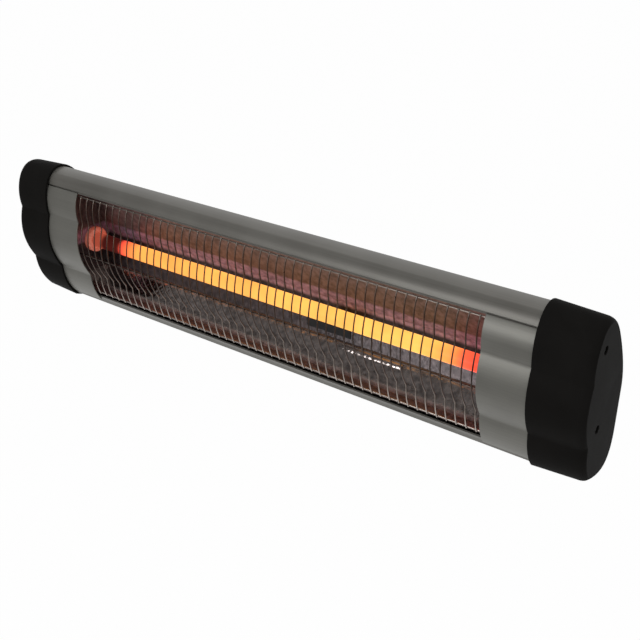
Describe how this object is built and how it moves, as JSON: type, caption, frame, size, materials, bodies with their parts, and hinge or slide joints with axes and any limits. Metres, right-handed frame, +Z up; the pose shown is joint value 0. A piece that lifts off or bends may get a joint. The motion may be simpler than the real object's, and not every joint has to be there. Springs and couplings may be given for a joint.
{
  "type": "electric bar heater",
  "caption": "Wall-mounted electric bar heater: a long quartz lamp and folded reflector behind an upright-wire guard, in an aluminium housing with black end caps, on a tilting wall bracket.",
  "frame": {"origin": "centre of the wall bracket's back face, which rests on the wall, at the height of the tilt axis", "axes": "+X along the heater's length to the right as seen from the front, +Y out of the wall bracket's back into the wall, -Y where the lamp faces, +Z up"},
  "size_m": [0.82, 0.1588, 0.2],
  "materials": {
    "anodised_housing": "satin",
    "anodised_panel": "satin",
    "polished_reflector": "polished",
    "guard_wire": "polished",
    "zinc_steel": "satin",
    "black_steel": "satin",
    "black_plastic": "matte",
    "white_ceramic": "matte",
    "quartz_glass": "gloss",
    "glowing_filament": "matte",
    "brass": "satin",
    "washer_rubber": "matte",
    "lead_brown": "satin",
    "lead_blue": "satin",
    "lead_green": "satin"
  },
  "bodies": {
    "bracket": {"wall_bracket": "black_steel"},
    "heater": {"cap_screw_1_left": "black_steel", "cap_screw_1_right": "black_steel", "cap_screw_2_left": "black_steel", "cap_screw_2_right": "black_steel", "earth_lead": "lead_green", "earth_screw": "brass", "earth_tag": "zinc_steel", "end_cap_left": "black_plastic", "end_cap_right": "black_plastic", "end_plate_left": "zinc_steel", "end_plate_right": "zinc_steel", "end_plate_screw_1_left": "zinc_steel", "end_plate_screw_1_right": "zinc_steel", "end_plate_screw_2_left": "zinc_steel", "end_plate_screw_2_right": "zinc_steel", "front_panel_left": "anodised_panel", "front_panel_right": "anodised_panel", "gland_body": "black_plastic", "gland_nut": "black_plastic", "heating_element": "glowing_filament", "holder_ring_left": "zinc_steel", "holder_ring_right": "zinc_steel", "housing": "anodised_housing", "lamp_contact_left": "brass", "lamp_contact_right": "brass", "lamp_holder_left": "white_ceramic", "lamp_holder_right": "white_ceramic", "lamp_saddle": "black_steel", "live_lead": "lead_brown", "lug_left": "black_steel", "lug_right": "black_steel", "lug_screw_1_left": "zinc_steel", "lug_screw_1_right": "zinc_steel", "lug_screw_2_left": "zinc_steel", "lug_screw_2_right": "zinc_steel", "neutral_lead": "lead_blue", "pivot_nut_left": "zinc_steel", "pivot_nut_right": "zinc_steel", "pivot_washer_left": "washer_rubber", "pivot_washer_right": "washer_rubber", "quartz_tube": "quartz_glass", "reflector": "polished_reflector", "reflector_end_left": "polished_reflector", "reflector_end_right": "polished_reflector", "reflector_strip": "polished_reflector", "terminal_block": "white_ceramic", "terminal_screw": "zinc_steel", "wire_guard": "guard_wire"},
    "knob_right": {"clamp_knob_right": "black_plastic", "clamp_stud_right": "zinc_steel"},
    "knob_left": {"clamp_knob_left": "black_plastic", "clamp_stud_left": "zinc_steel"}
  },
  "joints": [
    {"name": "tilt", "type": "hinge", "parent": "bracket", "child": "heater", "pos_m": [0, -0.04, 0], "axis": [1, 0, 0], "range_deg": [0, 45]},
    {"name": "knob_right_turn", "type": "hinge", "parent": "heater", "child": "knob_right", "pos_m": [0.108, -0.04, 0], "axis": [1, 0, 0], "range_deg": [0, 360]},
    {"name": "knob_left_turn", "type": "hinge", "parent": "heater", "child": "knob_left", "pos_m": [-0.108, -0.04, 0], "axis": [-1, 0, 0], "range_deg": [0, 360]}
  ]
}
